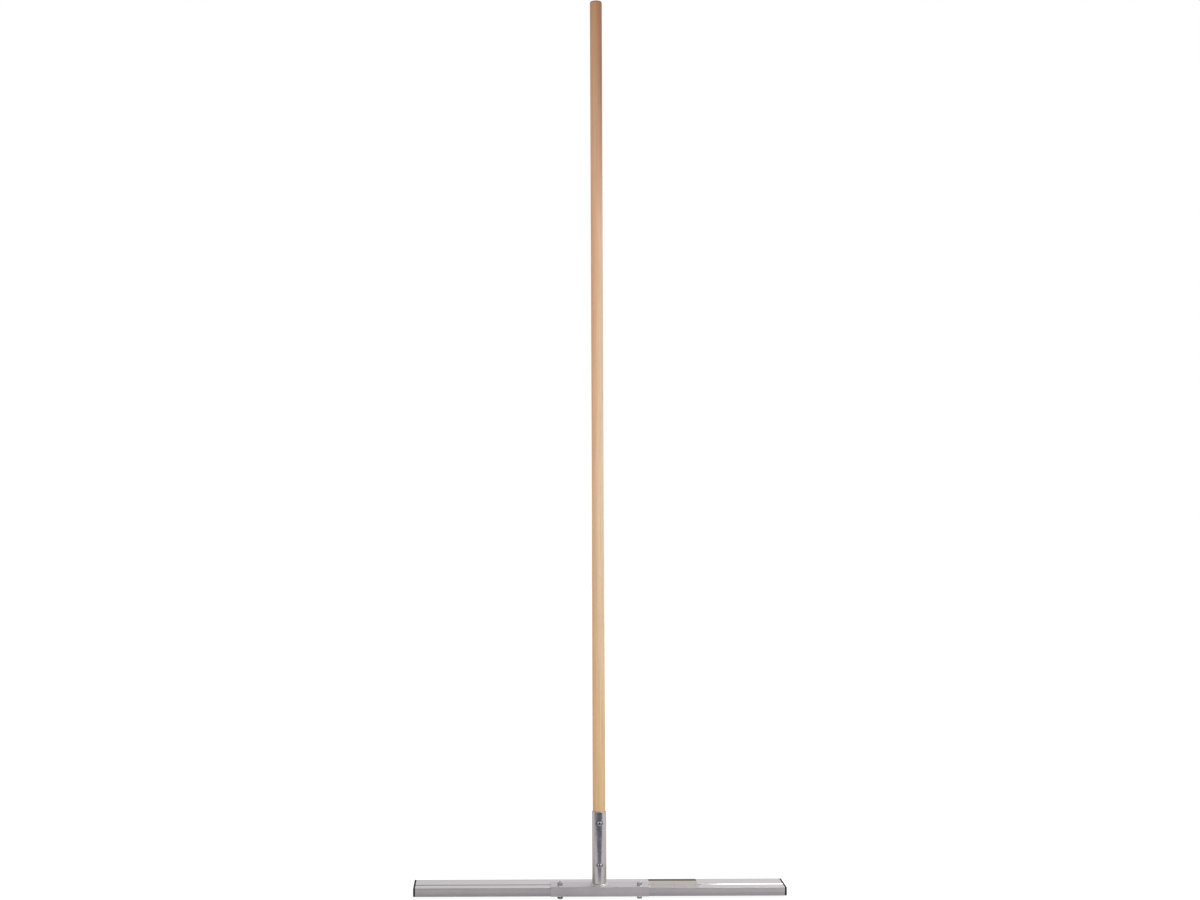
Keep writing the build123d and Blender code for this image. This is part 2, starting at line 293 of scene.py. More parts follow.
    # Towards the foot the two sides grow alike
    apart = add(tree, "ShaderNodeMapRange", {0: share, 1: 0.02, 2: 0.25, 3: 0.3, 4: 1.0})
    tint = add(tree, "ShaderNodeMix", {0: apart, 6: WHITE, 7: tint}, data_type="RGBA")
    tone = add(tree, "ShaderNodeMix", {0: 1.0, 6: tone, 7: tint}, data_type="RGBA", blend_type="MULTIPLY")
    wood = add(tree, "ShaderNodeVectorMath", {0: tone, 3: shade}, operation="SCALE")
    rough = add(tree, "ShaderNodeMapRange", {0: fibre, **NOISE, 3: 0.62, 4: 0.5})
    relief = add(tree, "ShaderNodeMath", {0: fleck, 1: -0.6, 2: fibre}, operation="MULTIPLY_ADD")
    bump = add(tree, "ShaderNodeBump", {"Strength": 0.35, "Distance": 0.2 * MM, "Height": relief})
    connect(tree, shader, {"Base Color": wood, "Roughness": rough, "Normal": bump})
    return material


def mill_finish(name, metal, look, rough, foot, grooved=False):
    """Aluminium as it leaves the die: grey and half dull, with fine straight lines along the pull and
    soft cloudy patches where it was handled. Towards its foot it is darker, a painted shade where it
    mirrors the shadowed floor beside the bar, and a groove, out of reach, keeps the shine of the die."""
    material, tree, shader, place = new_material(name, Metallic=1.0)
    spread, die_shine = 0.06, 0.07
    # A line is about a metre long
    pulled = add(tree, "ShaderNodeMapping", {0: place, 3: (0.9, 1.0 / look.die_line, 1.0 / look.die_line)})
    lines = add(tree, "ShaderNodeTexNoise", {"Vector": pulled, "Scale": 1.0, "Detail": 4.0,
                                             "Roughness": 0.7})
    cloud = add(tree, "ShaderNodeTexNoise", {"Vector": place, "Scale": 1.0 / look.scuff, "Detail": 3.0})
    shade = add(tree, "ShaderNodeMapRange", {0: lines, **NOISE, 3: 0.93, 4: 1.06})
    soft = add(tree, "ShaderNodeMapRange", {0: cloud, **NOISE, 3: 0.97, 4: 1.03})
    shade = add(tree, "ShaderNodeMath", {0: shade, 1: soft}, operation="MULTIPLY")
    spot = add(tree, "ShaderNodeSeparateXYZ", {0: place}).outputs
    # Painted shade: darker towards the foot, where the faces mirror the shadowed floor beside the bar
    shade_band = BAR_LOW.z + look.shade_band
    foot_shade = add(tree, "ShaderNodeMapRange", {0: spot["Z"], 1: shade_band - look.shade_band / 2, 2: shade_band,
                                            3: foot, 4: 1.0})
    shade = add(tree, "ShaderNodeMath", {0: shade, 1: foot_shade}, operation="MULTIPLY")
    skin = add(tree, "ShaderNodeVectorMath", {0: tuple(metal), 3: shade}, operation="SCALE")
    dull = add(tree, "ShaderNodeMapRange", {0: lines, **NOISE, 3: rough + spread, 4: rough - spread})
    dull = add(tree, "ShaderNodeMath", {0: cloud, 1: 0.12, 2: dull}, operation="MULTIPLY_ADD")
    relief = lines
    if grooved:
        middle, half = BAR_LOW.y + look.groove_setback, look.groove_width / 2
        away = add(tree, "ShaderNodeMath", {0: spot["Y"], 1: middle}, operation="SUBTRACT")
        away = add(tree, "ShaderNodeMath", {0: away}, operation="ABSOLUTE")
        rubbed = add(tree, "ShaderNodeMapRange", {0: away, 1: half * 0.9, 2: half * 1.1})
        dull = add(tree, "ShaderNodeMix", {0: rubbed, 2: die_shine, 3: dull})
        relief = add(tree, "ShaderNodeMath", {0: lines, 1: rubbed}, operation="MULTIPLY")
    bump = add(tree, "ShaderNodeBump", {"Strength": 0.2, "Distance": 0.05 * MM, "Height": relief})
    connect(tree, shader, {"Base Color": skin, "Roughness": dull, "Normal": bump})
    return material


def off_axis(tree, place, node, squeeze=1.0):
    """Distance of each point from the axis of a screw, which runs from front to rear. Squeeze makes
    heights count for more, so a ring becomes an oval that lies on its side."""
    low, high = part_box(node)
    flat = add(tree, "ShaderNodeVectorMath", {0: place, 1: (1.0, 0.0, squeeze)}, operation="MULTIPLY")
    axis = ((low.x + high.x) / 2, 0.0, squeeze * (low.z + high.z) / 2)
    return add(tree, "ShaderNodeVectorMath", {0: flat, 1: axis}, operation="DISTANCE").outputs["Value"]


def drawn_tube(look):
    """Bright drawn tube: nearly a mirror, mottled by shallow hollows that break its reflections up,
    with faint lines along the draw."""
    material, tree, shader, place = new_material("bright_drawn_aluminium", Metallic=1.0)
    wide = add(tree, "ShaderNodeMapping", {0: place, 3: (1.0, 1.0, 0.6)})
    hollow = add(tree, "ShaderNodeTexNoise", {"Vector": wide, "Scale": 1.0 / look.dent, "Detail": 3.0})
    # A line is about 1 mm wide and 100 mm long
    drawn = add(tree, "ShaderNodeMapping", {0: place, 3: (900.0, 900.0, 9.0)})
    lines = add(tree, "ShaderNodeTexNoise", {"Vector": drawn, "Scale": 1.0, "Detail": 3.0})
    shade = add(tree, "ShaderNodeMapRange", {0: lines, **NOISE, 3: 0.92, 4: 1.05})
    # Painted shade darkens the tube left and right of each flat screw head, where the round tube
    #     # falls away from it
    depth = add(tree, "ShaderNodeSeparateXYZ", {0: place}).outputs["Y"]
    front = add(tree, "ShaderNodeMath", {0: depth, 1: SOCKET_AXIS_Y}, operation="LESS_THAN")
    for node in SCREWS:
        head = half_width(node)
        away = off_axis(tree, place, node, squeeze=1.6)
        painted_shade = add(tree, "ShaderNodeMapRange", {0: away, 1: head, 2: head + look.gap_shade, 3: -0.9, 4: 0.0})
        unshaded = add(tree, "ShaderNodeMath", {0: painted_shade, 1: front, 2: 1.0}, operation="MULTIPLY_ADD")
        shade = add(tree, "ShaderNodeMath", {0: shade, 1: unshaded}, operation="MULTIPLY")
    skin = add(tree, "ShaderNodeVectorMath", {0: tuple(look.tube), 3: shade}, operation="SCALE")
    dull = add(tree, "ShaderNodeMapRange", {0: hollow, 1: 0.35, 2: 0.7, 3: 0.125, 4: 0.255})
    relief = add(tree, "ShaderNodeMath", {0: lines, 1: 0.08, 2: hollow}, operation="MULTIPLY_ADD")
    bump = add(tree, "ShaderNodeBump", {"Strength": 0.35, "Distance": 0.3 * MM, "Height": relief})
    connect(tree, shader, {"Base Color": skin, "Roughness": dull, "Normal": bump})
    return material


def weld_metal(look):
    """Weld metal as it froze: bare and bright, with dull and sooty patches of about 2 mm."""
    material, tree, shader, place = new_material("bare_weld_metal", Metallic=1.0)
    soot = add(tree, "ShaderNodeTexNoise", {"Vector": place, "Scale": 420.0, "Detail": 4.0})
    patches = {0: soot, 1: 0.35, 2: 0.65}
    shade = add(tree, "ShaderNodeMapRange", {**patches, 3: 0.7, 4: 1.05})
    skin = add(tree, "ShaderNodeVectorMath", {0: tuple(look.weld), 3: shade}, operation="SCALE")
    dull = add(tree, "ShaderNodeMapRange", {**patches, 3: 0.42, 4: 0.22})
    bump = add(tree, "ShaderNodeBump", {"Strength": 0.3, "Distance": 0.08 * MM, "Height": soot})
    connect(tree, shader, {"Base Color": skin, "Roughness": dull, "Normal": bump})
    return material


def zinc_plate(name, zinc, look, rough, recesses=(), shaded_creases=()):
    """Bright zinc plate on steel: cool grey, in small patches that catch the light differently. Painted
    shade darkens the driver recess and the left and right edges of a screw, and the creases at the
    foot and the top of a nut."""
    material, tree, shader, place = new_material(name, Metallic=1.0)
    patch = add(tree, "ShaderNodeTexVoronoi", {"Vector": place, "Scale": 1.0 / look.spangle})
    tint = add(tree, "ShaderNodeSeparateColor", {0: patch.outputs["Color"]})
    shade = add(tree, "ShaderNodeMapRange", {0: tint, 3: 0.86, 4: 1.08})
    spot = add(tree, "ShaderNodeSeparateXYZ", {0: place}).outputs
    # Painted shade deep in the driver recess
    for node in recesses:
        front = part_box(node)[0].y
        deep = add(tree, "ShaderNodeMapRange", {0: spot["Y"], 1: front + 0.3 * MM, 2: front + 1.2 * MM})
        away = off_axis(tree, place, node)
        painted_shade = add(tree, "ShaderNodeMapRange", {0: away, 1: 3.1 * MM, 2: 3.4 * MM, 3: -0.9, 4: 0.0})
        unshaded = add(tree, "ShaderNodeMath", {0: painted_shade, 1: deep, 2: 1.0}, operation="MULTIPLY_ADD")
        shade = add(tree, "ShaderNodeMath", {0: shade, 1: unshaded}, operation="MULTIPLY")
    # Painted shade on the left and right edges of the screw heads
    if recesses:
        head = half_width(recesses[0])
        away = add(tree, "ShaderNodeMath", {0: spot["X"]}, operation="ABSOLUTE")
        unshaded = add(tree, "ShaderNodeMapRange", {0: away, 1: head * 0.55, 2: head * 0.95, 3: 1.0, 4: 0.3})
        shade = add(tree, "ShaderNodeMath", {0: shade, 1: unshaded}, operation="MULTIPLY")
    # Painted shade in the creases at the foot and the top of a nut
    for height in shaded_creases:
        away = add(tree, "ShaderNodeMath", {0: spot["Z"], 1: height}, operation="SUBTRACT")
        away = add(tree, "ShaderNodeMath", {0: away}, operation="ABSOLUTE")
        unshaded = add(tree, "ShaderNodeMapRange", {0: away, 1: look.crease_shade * 0.4, 2: look.crease_shade,
                                                 3: 0.45, 4: 1.0})
        shade = add(tree, "ShaderNodeMath", {0: shade, 1: unshaded}, operation="MULTIPLY")
    skin = add(tree, "ShaderNodeVectorMath", {0: tuple(zinc), 3: shade}, operation="SCALE")
    # The crystals are too fine to show, so the grain is drawn 0.7 mm wide
    spread = 0.06
    grain = add(tree, "ShaderNodeTexNoise", {"Vector": place, "Scale": 1400.0, "Detail": 3.0})
    dull = add(tree, "ShaderNodeMapRange", {0: grain, **NOISE, 3: rough + spread, 4: rough - spread})
    bump = add(tree, "ShaderNodeBump", {"Strength": 0.15, "Distance": 0.05 * MM, "Height": grain})
    connect(tree, shader, {"Base Color": skin, "Roughness": dull, "Normal": bump})
    return material


def moulded_plastic(look):
    """Moulded black polyethylene: a fine even grain from the mould, a soft sheen and a slight bloom in
    patches of some 17 mm."""
    material, tree, shader, place = new_material("black_polyethylene", **{"Specular IOR Level": 0.1})
    rough, spread = 0.66, 0.08
    grain = add(tree, "ShaderNodeTexNoise", {"Vector": place, "Scale": 1.0 / look.grit, "Detail": 2.0})
    bloom = add(tree, "ShaderNodeTexNoise", {"Vector": place, "Scale": 60.0, "Detail": 2.0})
    shade = add(tree, "ShaderNodeMapRange", {0: bloom, **NOISE, 3: 0.85, 4: 1.2})
    skin = add(tree, "ShaderNodeVectorMath", {0: tuple(look.plastic), 3: shade}, operation="SCALE")
    dull = add(tree, "ShaderNodeMapRange", {0: grain, **NOISE, 3: rough + spread, 4: rough - spread})
    bump = add(tree, "ShaderNodeBump", {"Strength": 0.25, "Distance": 0.06 * MM, "Height": grain})
    connect(tree, shader, {"Base Color": skin, "Roughness": dull, "Normal": bump})
    return material


def printed_foil(look, centre):
    """Silver foil sticker under a clear film: a pale satin field with a plain band, a plain stripe and a
    table of empty boxes."""
    material, tree, shader, place = new_material("printed_silver_foil", Roughness=0.4,
                                                 **{"Specular IOR Level": 0.2})
    local = add(tree, "ShaderNodeMapping", {0: place, 1: [-c for c in centre]})
    spot = add(tree, "ShaderNodeSeparateXYZ", {0: local}).outputs
    across = spot["Y"]
    # From the middle to the rear of the bar come the boxes, the stripe and the band
    stripe_at, stripe_half, band_from = look.wide * 0.18, look.wide * 0.05, look.wide * 0.25
    band = add(tree, "ShaderNodeMath", {0: across, 1: band_from}, operation="GREATER_THAN")
    line = add(tree, "ShaderNodeMath", {0: across, 1: stripe_at, 2: stripe_half}, operation="COMPARE")
    # Brushed along the bar, in lines about 1 mm wide
    brushed = add(tree, "ShaderNodeMapping", {0: place, 3: (8.0, 900.0, 1.0)})
    fine = add(tree, "ShaderNodeTexNoise", {"Vector": brushed, "Scale": 1.0, "Detail": 3.0})
    shade = add(tree, "ShaderNodeMapRange", {0: fine, **NOISE, 3: 0.9, 4: 1.06})
    foil = add(tree, "ShaderNodeVectorMath", {0: tuple(look.foil), 3: shade}, operation="SCALE")
    # Two columns and three rows of boxes, whose lines lie half on each box
    column, row, rule = look.long * 0.44, look.wide * 0.14, look.rule / 2
    boxes = add(tree, "ShaderNodeTexBrick", {
        "Vector": local, "Scale": 1.0, "Mortar Size": rule, "Mortar Smooth": 0.0,
        "Brick Width": column, "Row Height": row}, offset=0.0)
    inside = add(tree, "ShaderNodeMath", {0: spot["X"], 1: 0.0, 2: column + rule}, operation="COMPARE")
    deep = row * 1.5
    table = add(tree, "ShaderNodeMath", {0: across, 1: -deep, 2: deep + rule}, operation="COMPARE")
    table = add(tree, "ShaderNodeMath", {0: table, 1: inside}, operation="MULTIPLY")
    table = add(tree, "ShaderNodeMath", {0: table, 1: boxes.outputs["Fac"]}, operation="MULTIPLY")
    field = add(tree, "ShaderNodeMix", {0: table, 6: foil, 7: rgba(look.band)}, data_type="RGBA")
    field = add(tree, "ShaderNodeMix", {0: line, 6: field, 7: rgba(look.stripe)}, data_type="RGBA")
    field = add(tree, "ShaderNodeMix", {0: band, 6: field, 7: rgba(look.band)}, data_type="RGBA")
    ink = add(tree, "ShaderNodeMath", {0: band, 1: line}, operation="MAXIMUM")
    metal = add(tree, "ShaderNodeMapRange", {0: ink, 3: 0.75, 4: 0.0})
    bump = add(tree, "ShaderNodeBump", {"Strength": 0.1, "Distance": 0.03 * MM, "Height": fine})
    connect(tree, shader, {"Base Color": field, "Metallic": metal, "Normal": bump})
    return material


def mirror_rays(tree, path):
    """One for a ray that metal or glass sends into the room, and nought for any other."""
    return add(tree, "ShaderNodeMath", {0: path["Is Glossy Ray"], 1: path["Is Transmission Ray"]},
               operation="MAXIMUM")


def studio_paper(shade):
    """Pale paper: white where it is seen, with the soft shadow that the tool throws on it."""
    material = bpy.data.materials.new("studio_paper")
    tree = empty_tree(material)
    path = add(tree, "ShaderNodeLightPath").outputs
    mirrored = mirror_rays(tree, path)
    # Where the paper is seen it glows white and takes less light, and where it is mirrored, in part
    seen_glow, mirror_glow, seen_loss, mirror_loss = 0.95, 0.14, 0.78, 0.45
    glow = add(tree, "ShaderNodeMath", {0: path["Is Camera Ray"], 1: seen_glow}, operation="MULTIPLY")
    glow = add(tree, "ShaderNodeMath", {0: mirrored, 1: mirror_glow, 2: glow}, operation="MULTIPLY_ADD")
    share = add(tree, "ShaderNodeMath", {0: path["Is Camera Ray"], 1: -seen_loss, 2: 1.0},
                operation="MULTIPLY_ADD")
    share = add(tree, "ShaderNodeMath", {0: mirrored, 1: -mirror_loss, 2: share}, operation="MULTIPLY_ADD")
    tint = add(tree, "ShaderNodeVectorMath", {0: tuple(shade), 3: share}, operation="SCALE")
    plain = add(tree, "ShaderNodeBsdfDiffuse", {"Color": tint})
    white = add(tree, "ShaderNodeEmission", {"Color": rgba(shade), "Strength": glow})
    mixed = add(tree, "ShaderNodeAddShader", {0: plain, 1: white})
    add(tree, "ShaderNodeOutputMaterial", {"Surface": mixed})
    return material


def dark_room(look, near, aisle):
    """A painted reflection: a glowing sheet, seen only in reflections, stands in for the unlit floor and
    curtain; the floor grows paler towards the tool, and greyer left of the aisle.
    """
    material = bpy.data.materials.new("dark_room")
    tree = empty_tree(material)
    place = add(tree, "ShaderNodeTexCoord").outputs["Object"]
    spot = add(tree, "ShaderNodeSeparateXYZ", {0: place}).outputs
    far, blur = 0.7, 0.1
    level = add(tree, "ShaderNodeMapRange", {0: spot["Y"], 1: SOCKET_AXIS_Y - far, 2: SOCKET_AXIS_Y - near,
                                             3: 1.0, 4: 2.0})
    beside = add(tree, "ShaderNodeMapRange", {0: spot["X"], 1: -aisle, 2: blur - aisle, 3: 1.0, 4: 0.0})
    tint = add(tree, "ShaderNodeMix", {0: beside, 6: rgba(look.dusk), 7: rgba(look.dim)},
               data_type="RGBA")
    glow = add(tree, "ShaderNodeEmission", {"Color": tint, "Strength": level})
    add(tree, "ShaderNodeOutputMaterial", {"Surface": glow})
    return material


def studio_room():
    """A room that the camera sees white. It lights the tool a little more from the right, and metal
    mirrors it brighter on the right and behind, and darker overhead."""
    world = bpy.data.worlds.new("studio_room")
    tree = empty_tree(world)
    path = add(tree, "ShaderNodeLightPath").outputs
    way = add(tree, "ShaderNodeTexCoord").outputs["Generated"]
    way = add(tree, "ShaderNodeSeparateXYZ", {0: way}).outputs
    lit = add(tree, "ShaderNodeMapRange", {0: way["X"], 1: -1.0, 2: 1.0, 3: 0.7, 4: 0.91})
    across = add(tree, "ShaderNodeMapRange", {0: way["X"], 1: -0.3, 2: 0.3, 3: 0.71, 4: 1.01})
    behind = add(tree, "ShaderNodeMapRange", {0: way["Y"], 1: 0.0, 2: 1.0, 3: 1.0, 4: 1.3})
    ceiling = add(tree, "ShaderNodeMapRange", {0: way["Z"], 1: 0.35, 2: 0.75, 3: 1.0, 4: 0.4})
    shown = add(tree, "ShaderNodeMath", {0: across, 1: behind}, operation="MULTIPLY")
    shown = add(tree, "ShaderNodeMath", {0: shown, 1: ceiling}, operation="MULTIPLY")
    level = add(tree, "ShaderNodeMix", {0: mirror_rays(tree, path), 2: lit, 3: shown})
    level = add(tree, "ShaderNodeMix", {0: path["Is Camera Ray"], 2: level, 3: 1.0})
    room = add(tree, "ShaderNodeBackground", {"Color": WHITE, "Strength": level})
    add(tree, "ShaderNodeOutputWorld", {"Surface": room})
    return world


def dress(material, *names):
    """Give CAD nodes their material."""
    for name in names:
        slots = NODES[name].data.materials
        slots.clear()
        slots.append(material)


def pair(stem):
    """The names of a left and a right node."""
    return f"{stem}_left", f"{stem}_right"


def new_piece(name, mesh, material):
    """Turn a bmesh into an object at the origin, with one material."""
    data = bpy.data.meshes.new(name)
    mesh.to_mesh(data)
    mesh.free()
    data.materials.append(material)
    piece = bpy.data.objects.new(name, data)
    bpy.context.scene.collection.objects.link(piece)
    return piece


# Geometry Nodes


def node_tree(name, **sockets):
    """A Geometry Nodes tree with named inputs and one geometry output."""
    tree = bpy.data.node_groups.new(name, "GeometryNodeTree")
    tree.interface.new_socket("Geometry", in_out="OUTPUT", socket_type="NodeSocketGeometry")
    for label, kind in sockets.items():
        tree.interface.new_socket(label.replace("_", " ").title(), in_out="INPUT", socket_type=kind)
    return tree, add(tree, "NodeGroupInput").outputs


def weld_tree():
    """A bead that runs once round the tube: an oval section in the corner, swept round the circle, whose
    open side steps up and falls away once for each ripple."""
    size, count, thing = "NodeSocketFloat", "NodeSocketInt", "NodeSocketMaterial"
    tree, given = node_tree("weld_bead", tube_radius=size, reach=size, crown=size, ripple_height=size,
                            ripples=count, seed=count, axis="NodeSocketVector", material=thing)
    ripple_steps, section_points = 12.0, 33
    steps = add(tree, "ShaderNodeMath", {0: given["Ripples"], 1: ripple_steps, 2: 1.0},
                operation="MULTIPLY_ADD")
    grid = add(tree, "GeometryNodeMeshGrid", {"Size X": math.tau, "Size Y": math.tau,
                                              "Vertices X": steps, "Vertices Y": section_points})
    spot = add(tree, "ShaderNodeSeparateXYZ", {0: add(tree, "GeometryNodeInputPosition")})
    turn, roll = spot.outputs["X"], spot.outputs["Y"]
    cos_turn = add(tree, "ShaderNodeMath", {0: turn}, operation="COSINE")
    sin_turn = add(tree, "ShaderNodeMath", {0: turn}, operation="SINE")
    cos_roll = add(tree, "ShaderNodeMath", {0: roll}, operation="COSINE")
    sin_roll = add(tree, "ShaderNodeMath", {0: roll}, operation="SINE")
    # The hand wanders: ripples lie a little closer here and wider there, and the bead swells and thins
    ring = add(tree, "ShaderNodeCombineXYZ", {0: cos_turn, 1: sin_turn})
    hand = add(tree, "ShaderNodeTexNoise", {"Vector": ring, "W": given["Seed"], "Scale": 2.6,
                                            "Detail": 2.0}, noise_dimensions="4D")
    # Each ripple bows back towards its ends, rises slowly and drops at once
    wander, bend, curl = 2.2, -0.9, 1.6
    bow = add(tree, "ShaderNodeMath", {0: cos_roll, 1: 2.0}, operation="POWER")
    phase = add(tree, "ShaderNodeMath", {0: turn, 1: given["Ripples"]}, operation="MULTIPLY")
    phase = add(tree, "ShaderNodeMath", {0: phase, 1: math.tau}, operation="DIVIDE")
    phase = add(tree, "ShaderNodeMath", {0: hand, 1: wander, 2: phase}, operation="MULTIPLY_ADD")
    phase = add(tree, "ShaderNodeMath", {0: bow, 1: bend, 2: phase}, operation="MULTIPLY_ADD")
    step = add(tree, "ShaderNodeMath", {0: phase}, operation="FRACT")
    step = add(tree, "ShaderNodeMath", {0: step, 1: curl}, operation="POWER")
    outer = add(tree, "ShaderNodeMath", {0: sin_roll, 1: 0.0}, operation="MAXIMUM")
    rise = add(tree, "ShaderNodeMath", {0: step, 1: given["Ripple Height"]}, operation="MULTIPLY")
    swell = add(tree, "ShaderNodeMapRange", {0: hand, **NOISE, 3: 0.9, 4: 1.1})
    # The hidden half of the section is flatter, so it stays inside the plate and the tube's wall
    deep = add(tree, "ShaderNodeMapRange", {0: sin_roll, 1: -0.2, 2: 0.2, 3: 0.5, 4: 1.0})
    half = add(tree, "ShaderNodeMath", {0: given["Crown"], 1: deep}, operation="MULTIPLY")
    half = add(tree, "ShaderNodeMath", {0: rise, 1: outer, 2: half}, operation="MULTIPLY_ADD")
    out = add(tree, "ShaderNodeMath", {0: half, 1: sin_roll}, operation="MULTIPLY")
    side = add(tree, "ShaderNodeMath", {0: given["Reach"], 1: cos_roll}, operation="MULTIPLY")
    out = add(tree, "ShaderNodeMath", {0: out, 1: swell}, operation="MULTIPLY")
    side = add(tree, "ShaderNodeMath", {0: side, 1: swell}, operation="MULTIPLY")
    # The section lies at 45 degrees, its middle a little out of the corner of tube and plate
    slant, corner = math.sqrt(0.5), 0.34
    far = add(tree, "ShaderNodeMath", {0: out, 1: side}, operation="ADD")
    up = add(tree, "ShaderNodeMath", {0: out, 1: side}, operation="SUBTRACT")
    root = add(tree, "ShaderNodeMath", {0: given["Reach"], 1: corner}, operation="MULTIPLY")
    far = add(tree, "ShaderNodeMath", {0: far, 1: slant, 2: root}, operation="MULTIPLY_ADD")
    far = add(tree, "ShaderNodeMath", {0: far, 1: given["Tube Radius"]}, operation="ADD")
    up = add(tree, "ShaderNodeMath", {0: up, 1: slant, 2: root}, operation="MULTIPLY_ADD")
    east = add(tree, "ShaderNodeMath", {0: far, 1: cos_turn}, operation="MULTIPLY")
    north = add(tree, "ShaderNodeMath", {0: far, 1: sin_turn}, operation="MULTIPLY")
    bead = add(tree, "ShaderNodeCombineXYZ", {0: east, 1: north, 2: up})
    bead = add(tree, "ShaderNodeVectorMath", {0: bead, 1: given["Axis"]}, operation="ADD")
    shape = add(tree, "GeometryNodeSetPosition", {"Geometry": grid, "Position": bead})
    shape = add(tree, "GeometryNodeMergeByDistance", {"Geometry": shape, "Distance": 0.005 * MM})
    shape = add(tree, "GeometryNodeSetShadeSmooth", {"Geometry": shape})
    shape = add(tree, "GeometryNodeRealizeInstances", {"Geometry": shape})
    shape = add(tree, "GeometryNodeSetMaterial", {"Geometry": shape, "Material": given["Material"]})
    add(tree, "NodeGroupOutput", {0: shape})
    return tree


def grow(name, tree, **values):
    """Run a Geometry Nodes tree and keep its result as a plain mesh at the origin."""
    piece = bpy.data.objects.new(name, bpy.data.meshes.new(name))
    bpy.context.scene.collection.objects.link(piece)
    modifier = piece.modifiers.new(name, "NODES")
    modifier.node_group = tree
    for socket in tree.interface.items_tree:
        label = socket.name.replace(" ", "_").lower()
        if socket.in_out == "INPUT":
            modifier[socket.identifier] = values[label]
    graph = bpy.context.evaluated_depsgraph_get()
    mesh = bpy.data.meshes.new_from_object(piece.evaluated_get(graph))
    if not mesh.polygons:
        raise RuntimeError(f"{name}: the node tree made no faces")
    piece.modifiers.clear()
    piece.data = mesh
    return piece


# Operators


class SCRAPER_OT_pole(bpy.types.Operator):
    """Give the wooden pole its grain"""
    bl_idname = "scraper.pole"
    bl_label = "Wooden Pole"

    def execute(self, context):
        dress(turned_beech(context.scene.scraper_pole), "handle")
        return {"FINISHED"}


class SCRAPER_OT_bar(bpy.types.Operator):
    """Give the straightedge bar and the angle bracket their mill finish"""
    bl_idname = "scraper.bar"
    bl_label = "Bar and Bracket"

    def execute(self, context):
        look = context.scene.scraper_bar
        extrusion = mill_finish("mill_finish_extrusion", look.metal, look, rough=0.3, foot=0.84,
                                grooved=True)
        angle = mill_finish("mill_finish_angle", look.bracket, look, rough=0.44, foot=0.92)
        dress(extrusion, "screed_bar")
        dress(angle, "socket_bracket")
        return {"FINISHED"}


class SCRAPER_OT_caps(bpy.types.Operator):
    """Give the end caps their moulded plastic"""
    bl_idname = "scraper.caps"
    bl_label = "End Caps"

    def execute(self, context):
        dress(moulded_plastic(context.scene.scraper_caps), *pair("end_cap"))
        return {"FINISHED"}


class SCRAPER_OT_socket(bpy.types.Operator):
    """Give the tube socket its bright drawn skin"""
    bl_idname = "scraper.socket"
    bl_label = "Tube Socket"

    def execute(self, context):
        dress(drawn_tube(context.scene.scraper_socket), "handle_socket")
        return {"FINISHED"}


class SCRAPER_OT_weld(bpy.types.Operator):
    """Lay the rippled weld round the foot of the tube"""
    bl_idname = "scraper.weld"
    bl_label = "Weld"

    def execute(self, context):
        look = context.scene.scraper_socket
        leg = half_width("socket_weld") - SOCKET_RADIUS
        reach, crown = leg * 0.84, leg * 0.4
        bead = grow("weld_bead", weld_tree(), tube_radius=SOCKET_RADIUS, reach=reach, crown=crown,
                    ripple_height=look.ripple_height, ripples=look.ripples, seed=look.seed,
                    axis=(0.0, SOCKET_AXIS_Y, PLATE_TOP), material=weld_metal(look))
        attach(bead, "root")
        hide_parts("socket_weld")
        return {"FINISHED"}


class SCRAPER_OT_fasteners(bpy.types.Operator):
    """Give the bolts, nuts, washers and screws their zinc plate"""
    bl_idname = "scraper.fasteners"
    bl_label = "Bolts and Screws"

    def execute(self, context):
        look = context.scene.scraper_fasteners
        # Heights of the painted shade in the creases of the nuts
        shaded_creases = [corner.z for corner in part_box("lock_nut_left")]
        nut = zinc_plate("zinc_plated_nut", look.nut, look, rough=0.2, shaded_creases=shaded_creases)
        ring = zinc_plate("zinc_plated_ring", look.ring, look, rough=0.2, shaded_creases=shaded_creases)
        # Painted shade: the bolts' zinc is darker than the nuts' for the heads under the bar
        bolt = zinc_plate("zinc_plated_bolt", look.bolt, look, rough=0.24)
        # Painted shade: a darker copy of the bolts' zinc for the left bolt head under the bar
        stained = zinc_plate("stained_zinc_bolt", look.stained, look, rough=0.3)
        # Partly a painted highlight: the washers' near-white zinc gives their bright rims
        washer = zinc_plate("zinc_plated_washer", look.washer, look, rough=0.2)
        screw = zinc_plate("zinc_plated_screw", look.screw, look, rough=0.13, recesses=SCREWS)
        dress(nut, *pair("lock_nut"))
        dress(ring, *pair("lock_ring"))
        dress(bolt, "clamp_bolt_right")
        dress(stained, "clamp_bolt_left")
        dress(washer, *pair("top_washer"), *pair("bottom_washer"))
        dress(screw, *SCREWS)
        return {"FINISHED"}


